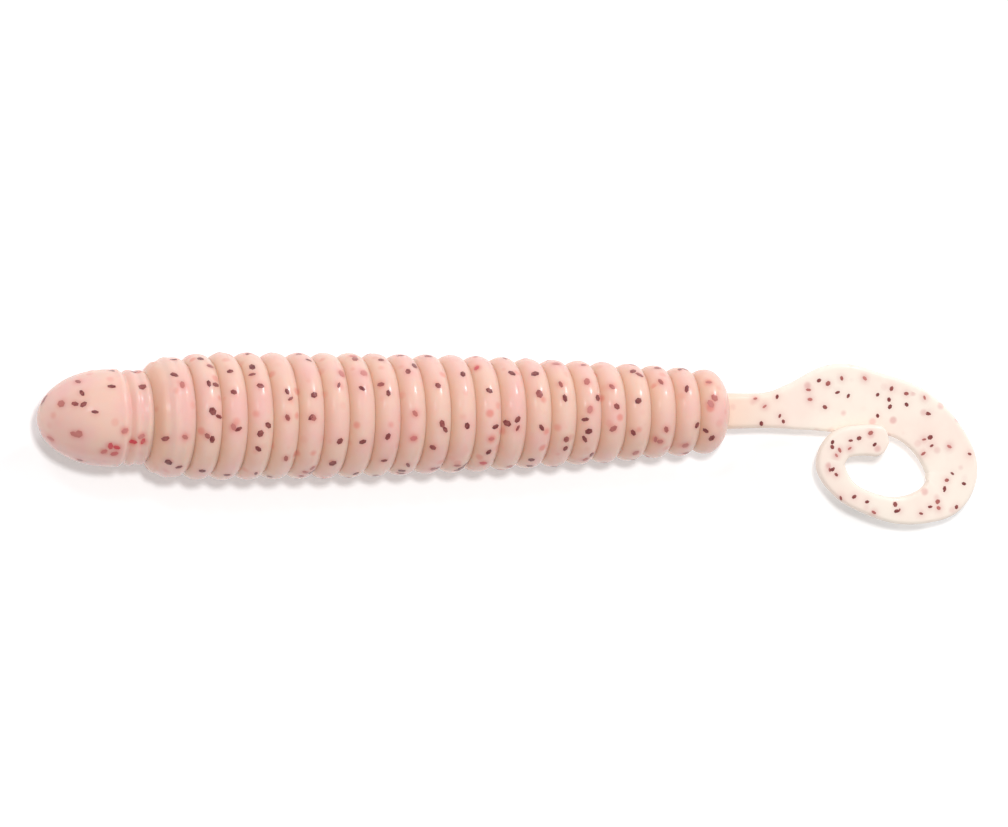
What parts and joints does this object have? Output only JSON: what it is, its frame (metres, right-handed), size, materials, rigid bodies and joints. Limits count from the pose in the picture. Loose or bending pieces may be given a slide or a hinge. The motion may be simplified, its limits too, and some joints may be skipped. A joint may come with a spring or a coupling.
{
  "type": "soft plastic worm",
  "caption": "Ribbed soft plastic fishing worm with a bullet nose, a tapering body and a flat curled tail, filled with glitter flakes.",
  "frame": {"origin": "the nose tip on the body axis, where a hook goes in", "axes": "+X aft along the body axis towards the tail, +Y across the body on the side where the tail's blade bulges, +Z out of the flat tail's upper face"},
  "size_m": [0.0886, 0.0164, 0.0116],
  "materials": {
    "plastisol": "gloss",
    "tail_plastisol": "gloss",
    "flake": "gloss"
  },
  "bodies": {
    "head": {"nose": "plastisol", "collar": "plastisol", "flakes_head": "flake"},
    "rib_01": {"rib_01": "plastisol", "flakes_rib_01": "flake"},
    "rib_02": {"rib_02": "plastisol", "flakes_rib_02": "flake"},
    "rib_03": {"rib_03": "plastisol", "flakes_rib_03": "flake"},
    "rib_04": {"rib_04": "plastisol", "flakes_rib_04": "flake"},
    "rib_05": {"rib_05": "plastisol", "flakes_rib_05": "flake"},
    "rib_06": {"rib_06": "plastisol", "flakes_rib_06": "flake"},
    "rib_07": {"rib_07": "plastisol", "flakes_rib_07": "flake"},
    "rib_08": {"rib_08": "plastisol", "flakes_rib_08": "flake"},
    "rib_09": {"rib_09": "plastisol", "flakes_rib_09": "flake"},
    "rib_10": {"rib_10": "plastisol", "flakes_rib_10": "flake"},
    "rib_11": {"rib_11": "plastisol", "flakes_rib_11": "flake"},
    "rib_12": {"rib_12": "plastisol", "flakes_rib_12": "flake"},
    "rib_13": {"rib_13": "plastisol", "flakes_rib_13": "flake"},
    "rib_14": {"rib_14": "plastisol", "flakes_rib_14": "flake"},
    "rib_15": {"rib_15": "plastisol", "flakes_rib_15": "flake"},
    "rib_16": {"rib_16": "plastisol", "flakes_rib_16": "flake"},
    "rib_17": {"rib_17": "plastisol", "flakes_rib_17": "flake"},
    "rib_18": {"rib_18": "plastisol", "flakes_rib_18": "flake"},
    "rib_19": {"rib_19": "plastisol", "flakes_rib_19": "flake"},
    "rib_20": {"rib_20": "plastisol", "flakes_rib_20": "flake"},
    "rib_21": {"rib_21": "plastisol", "flakes_rib_21": "flake"},
    "rib_22": {"rib_22": "plastisol", "flakes_rib_22": "flake"},
    "tail_stem": {"tail_stem": "tail_plastisol", "flakes_tail_stem": "flake"},
    "tail_blade": {"tail_blade": "tail_plastisol", "flakes_tail_blade": "flake"},
    "tail_bend": {"tail_shoulder": "tail_plastisol", "tail_bend": "tail_plastisol", "flakes_tail_bend": "flake"},
    "tail_return": {"tail_return": "tail_plastisol", "flakes_tail_return": "flake"},
    "tail_tip": {"tail_turn": "tail_plastisol", "tail_tip": "tail_plastisol", "flakes_tail_tip": "flake"}
  },
  "joints": [
    {"name": "side_bend_01", "type": "hinge", "parent": "head", "child": "rib_01", "pos_m": [0.0099, 0, 0], "axis": [0, 0, 1], "range_deg": [-8, 8], "stiffness_Nm_per_rad": 0.012},
    {"name": "lift_bend_02", "type": "hinge", "parent": "rib_01", "child": "rib_02", "pos_m": [0.01359, 0, 0], "axis": [0, -1, 0], "range_deg": [-8, 8], "stiffness_Nm_per_rad": 0.012},
    {"name": "side_bend_03", "type": "hinge", "parent": "rib_02", "child": "rib_03", "pos_m": [0.01598, 0, 0], "axis": [0, 0, 1], "range_deg": [-8, 8], "stiffness_Nm_per_rad": 0.012},
    {"name": "lift_bend_04", "type": "hinge", "parent": "rib_03", "child": "rib_04", "pos_m": [0.01837, 0, 0], "axis": [0, -1, 0], "range_deg": [-8, 8], "stiffness_Nm_per_rad": 0.012},
    {"name": "side_bend_05", "type": "hinge", "parent": "rib_04", "child": "rib_05", "pos_m": [0.02076, 0, 0], "axis": [0, 0, 1], "range_deg": [-8, 8], "stiffness_Nm_per_rad": 0.012},
    {"name": "lift_bend_06", "type": "hinge", "parent": "rib_05", "child": "rib_06", "pos_m": [0.02315, 0, 0], "axis": [0, -1, 0], "range_deg": [-8, 8], "stiffness_Nm_per_rad": 0.012},
    {"name": "side_bend_07", "type": "hinge", "parent": "rib_06", "child": "rib_07", "pos_m": [0.02555, 0, 0], "axis": [0, 0, 1], "range_deg": [-8, 8], "stiffness_Nm_per_rad": 0.012},
    {"name": "lift_bend_08", "type": "hinge", "parent": "rib_07", "child": "rib_08", "pos_m": [0.02794, 0, 0], "axis": [0, -1, 0], "range_deg": [-8, 8], "stiffness_Nm_per_rad": 0.012},
    {"name": "side_bend_09", "type": "hinge", "parent": "rib_08", "child": "rib_09", "pos_m": [0.03033, 0, 0], "axis": [0, 0, 1], "range_deg": [-8, 8], "stiffness_Nm_per_rad": 0.012},
    {"name": "lift_bend_10", "type": "hinge", "parent": "rib_09", "child": "rib_10", "pos_m": [0.03272, 0, 0], "axis": [0, -1, 0], "range_deg": [-8, 8], "stiffness_Nm_per_rad": 0.012},
    {"name": "side_bend_11", "type": "hinge", "parent": "rib_10", "child": "rib_11", "pos_m": [0.0351, 0, 0], "axis": [0, 0, 1], "range_deg": [-8, 8], "stiffness_Nm_per_rad": 0.012},
    {"name": "lift_bend_12", "type": "hinge", "parent": "rib_11", "child": "rib_12", "pos_m": [0.0375, 0, 0], "axis": [0, -1, 0], "range_deg": [-8, 8], "stiffness_Nm_per_rad": 0.012},
    {"name": "side_bend_13", "type": "hinge", "parent": "rib_12", "child": "rib_13", "pos_m": [0.03988, 0, 0], "axis": [0, 0, 1], "range_deg": [-8, 8], "stiffness_Nm_per_rad": 0.012},
    {"name": "lift_bend_14", "type": "hinge", "parent": "rib_13", "child": "rib_14", "pos_m": [0.04228, 0, 0], "axis": [0, -1, 0], "range_deg": [-8, 8], "stiffness_Nm_per_rad": 0.012},
    {"name": "side_bend_15", "type": "hinge", "parent": "rib_14", "child": "rib_15", "pos_m": [0.04467, 0, 0], "axis": [0, 0, 1], "range_deg": [-8, 8], "stiffness_Nm_per_rad": 0.012},
    {"name": "lift_bend_16", "type": "hinge", "parent": "rib_15", "child": "rib_16", "pos_m": [0.04705, 0, 0], "axis": [0, -1, 0], "range_deg": [-8, 8], "stiffness_Nm_per_rad": 0.012},
    {"name": "side_bend_17", "type": "hinge", "parent": "rib_16", "child": "rib_17", "pos_m": [0.04945, 0, 0], "axis": [0, 0, 1], "range_deg": [-8, 8], "stiffness_Nm_per_rad": 0.012},
    {"name": "lift_bend_18", "type": "hinge", "parent": "rib_17", "child": "rib_18", "pos_m": [0.05183, 0, 0], "axis": [0, -1, 0], "range_deg": [-8, 8], "stiffness_Nm_per_rad": 0.012},
    {"name": "side_bend_19", "type": "hinge", "parent": "rib_18", "child": "rib_19", "pos_m": [0.05423, 0, 0], "axis": [0, 0, 1], "range_deg": [-8, 8], "stiffness_Nm_per_rad": 0.012},
    {"name": "lift_bend_20", "type": "hinge", "parent": "rib_19", "child": "rib_20", "pos_m": [0.05661, 0, 0], "axis": [0, -1, 0], "range_deg": [-8, 8], "stiffness_Nm_per_rad": 0.012},
    {"name": "side_bend_21", "type": "hinge", "parent": "rib_20", "child": "rib_21", "pos_m": [0.05901, 0, 0], "axis": [0, 0, 1], "range_deg": [-8, 8], "stiffness_Nm_per_rad": 0.012},
    {"name": "lift_bend_22", "type": "hinge", "parent": "rib_21", "child": "rib_22", "pos_m": [0.06139, 0, 0], "axis": [0, -1, 0], "range_deg": [-8, 8], "stiffness_Nm_per_rad": 0.012},
    {"name": "tail_swing_1", "type": "hinge", "parent": "rib_22", "child": "tail_stem", "pos_m": [0.06566, 0, 0], "axis": [-0.0003, -1, 0], "range_deg": [-30, 30], "stiffness_Nm_per_rad": 0.0006},
    {"name": "tail_swing_2", "type": "hinge", "parent": "tail_stem", "child": "tail_blade", "pos_m": [0.07109, 0.0004, 0], "axis": [0.1595, -0.9872, 0], "range_deg": [-30, 30], "stiffness_Nm_per_rad": 0.0006},
    {"name": "tail_uncurl_1", "type": "hinge", "parent": "tail_blade", "child": "tail_bend", "pos_m": [0.08199, -0.00035, 0], "axis": [-0.471, -0.8821, 0], "range_deg": [0, 30], "stiffness_Nm_per_rad": 0.0006},
    {"name": "tail_uncurl_2", "type": "hinge", "parent": "tail_bend", "child": "tail_return", "pos_m": [0.08456, -0.00853, 0.00046], "axis": [-0.4616, 0.8871, 0], "range_deg": [0, 30], "stiffness_Nm_per_rad": 0.0006},
    {"name": "tail_uncurl_3", "type": "hinge", "parent": "tail_return", "child": "tail_tip", "pos_m": [0.07594, -0.00725, 0.0011], "axis": [0.6741, 0.7387, 0], "range_deg": [0, 30], "stiffness_Nm_per_rad": 0.0006}
  ],
  "couplings": [
    {"joint": "side_bend_03", "follows": "side_bend_01", "ratio": 1},
    {"joint": "lift_bend_04", "follows": "lift_bend_02", "ratio": 1},
    {"joint": "side_bend_05", "follows": "side_bend_01", "ratio": 1},
    {"joint": "lift_bend_06", "follows": "lift_bend_02", "ratio": 1},
    {"joint": "side_bend_07", "follows": "side_bend_01", "ratio": 1},
    {"joint": "lift_bend_08", "follows": "lift_bend_02", "ratio": 1},
    {"joint": "side_bend_09", "follows": "side_bend_01", "ratio": 1},
    {"joint": "lift_bend_10", "follows": "lift_bend_02", "ratio": 1},
    {"joint": "side_bend_11", "follows": "side_bend_01", "ratio": 1},
    {"joint": "lift_bend_12", "follows": "lift_bend_02", "ratio": 1},
    {"joint": "side_bend_13", "follows": "side_bend_01", "ratio": 1},
    {"joint": "lift_bend_14", "follows": "lift_bend_02", "ratio": 1},
    {"joint": "side_bend_15", "follows": "side_bend_01", "ratio": 1},
    {"joint": "lift_bend_16", "follows": "lift_bend_02", "ratio": 1},
    {"joint": "side_bend_17", "follows": "side_bend_01", "ratio": 1},
    {"joint": "lift_bend_18", "follows": "lift_bend_02", "ratio": 1},
    {"joint": "side_bend_19", "follows": "side_bend_01", "ratio": 1},
    {"joint": "lift_bend_20", "follows": "lift_bend_02", "ratio": 1},
    {"joint": "side_bend_21", "follows": "side_bend_01", "ratio": 1},
    {"joint": "lift_bend_22", "follows": "lift_bend_02", "ratio": 1},
    {"joint": "tail_swing_2", "follows": "tail_swing_1", "ratio": 1},
    {"joint": "tail_uncurl_2", "follows": "tail_uncurl_1", "ratio": 1},
    {"joint": "tail_uncurl_3", "follows": "tail_uncurl_1", "ratio": 1}
  ]
}
